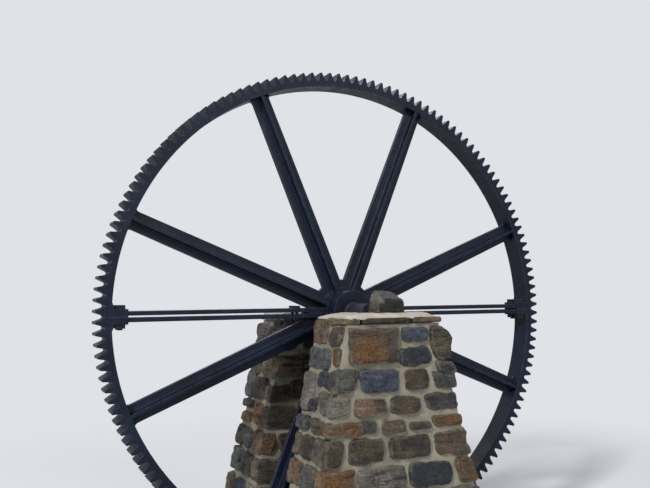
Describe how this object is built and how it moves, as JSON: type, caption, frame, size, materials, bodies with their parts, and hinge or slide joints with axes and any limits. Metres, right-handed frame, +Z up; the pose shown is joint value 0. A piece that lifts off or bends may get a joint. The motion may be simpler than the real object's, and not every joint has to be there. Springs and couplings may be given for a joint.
{
  "type": "watermill great gear wheel on stone piers",
  "caption": "Large cast-iron toothed wheel in two bolted halves, on a shaft bedded across two battered rubble-stone piers.",
  "frame": {"origin": "on the ground, midway between the two piers and below the middle of the shaft", "axes": "+Z up, +Y along the shaft from the front pier to the rear pier, +X to the right seen from the front"},
  "size_m": [3.116, 1.5096, 3.1781],
  "materials": {
    "painted_iron": "old dark blue-black paint, dull, with rust in places",
    "rusty_shaft": "bare iron, brown with rust",
    "bolt_iron": "painted over with the wheel",
    "rubble_masonry": "rough rubble in grey mortar",
    "cap_stone": "split flat stone",
    "mortar": "pale smoothed mortar",
    "field_stone": "broken grey-olive stone"
  },
  "bodies": {
    "piers": {"front_pier": "rubble_masonry", "front_cap_left": "cap_stone", "front_cap_middle": "cap_stone", "front_cap_right": "cap_stone", "front_mortar_crown": "mortar", "rear_pier": "rubble_masonry", "rear_cap_left": "cap_stone", "rear_cap_middle": "cap_stone", "rear_cap_right": "cap_stone", "rear_mortar_crown": "mortar", "loose_stone": "field_stone"},
    "wheel": {"upper_rim_1": "painted_iron", "upper_arm_1": "painted_iron", "upper_rim_2": "painted_iron", "upper_arm_2": "painted_iron", "upper_rim_3": "painted_iron", "upper_arm_3": "painted_iron", "upper_rim_4": "painted_iron", "upper_arm_4": "painted_iron", "upper_bar_left": "painted_iron", "upper_bar_right": "painted_iron", "upper_hub": "painted_iron", "lower_rim_1": "painted_iron", "lower_arm_1": "painted_iron", "lower_rim_2": "painted_iron", "lower_arm_2": "painted_iron", "lower_rim_3": "painted_iron", "lower_arm_3": "painted_iron", "lower_rim_4": "painted_iron", "lower_arm_4": "painted_iron", "lower_bar_left": "painted_iron", "lower_bar_right": "painted_iron", "lower_hub": "painted_iron", "left_rim_bolts": "bolt_iron", "left_bar_bolts": "bolt_iron", "right_rim_bolts": "bolt_iron", "right_bar_bolts": "bolt_iron", "shaft": "rusty_shaft", "hub_key": "rusty_shaft"}
  },
  "joints": [
    {"name": "wheel_spin", "type": "hinge", "parent": "piers", "child": "wheel", "pos_m": [0, 0, 1.62016], "axis": [0, 1, 0], "continuous": true}
  ]
}
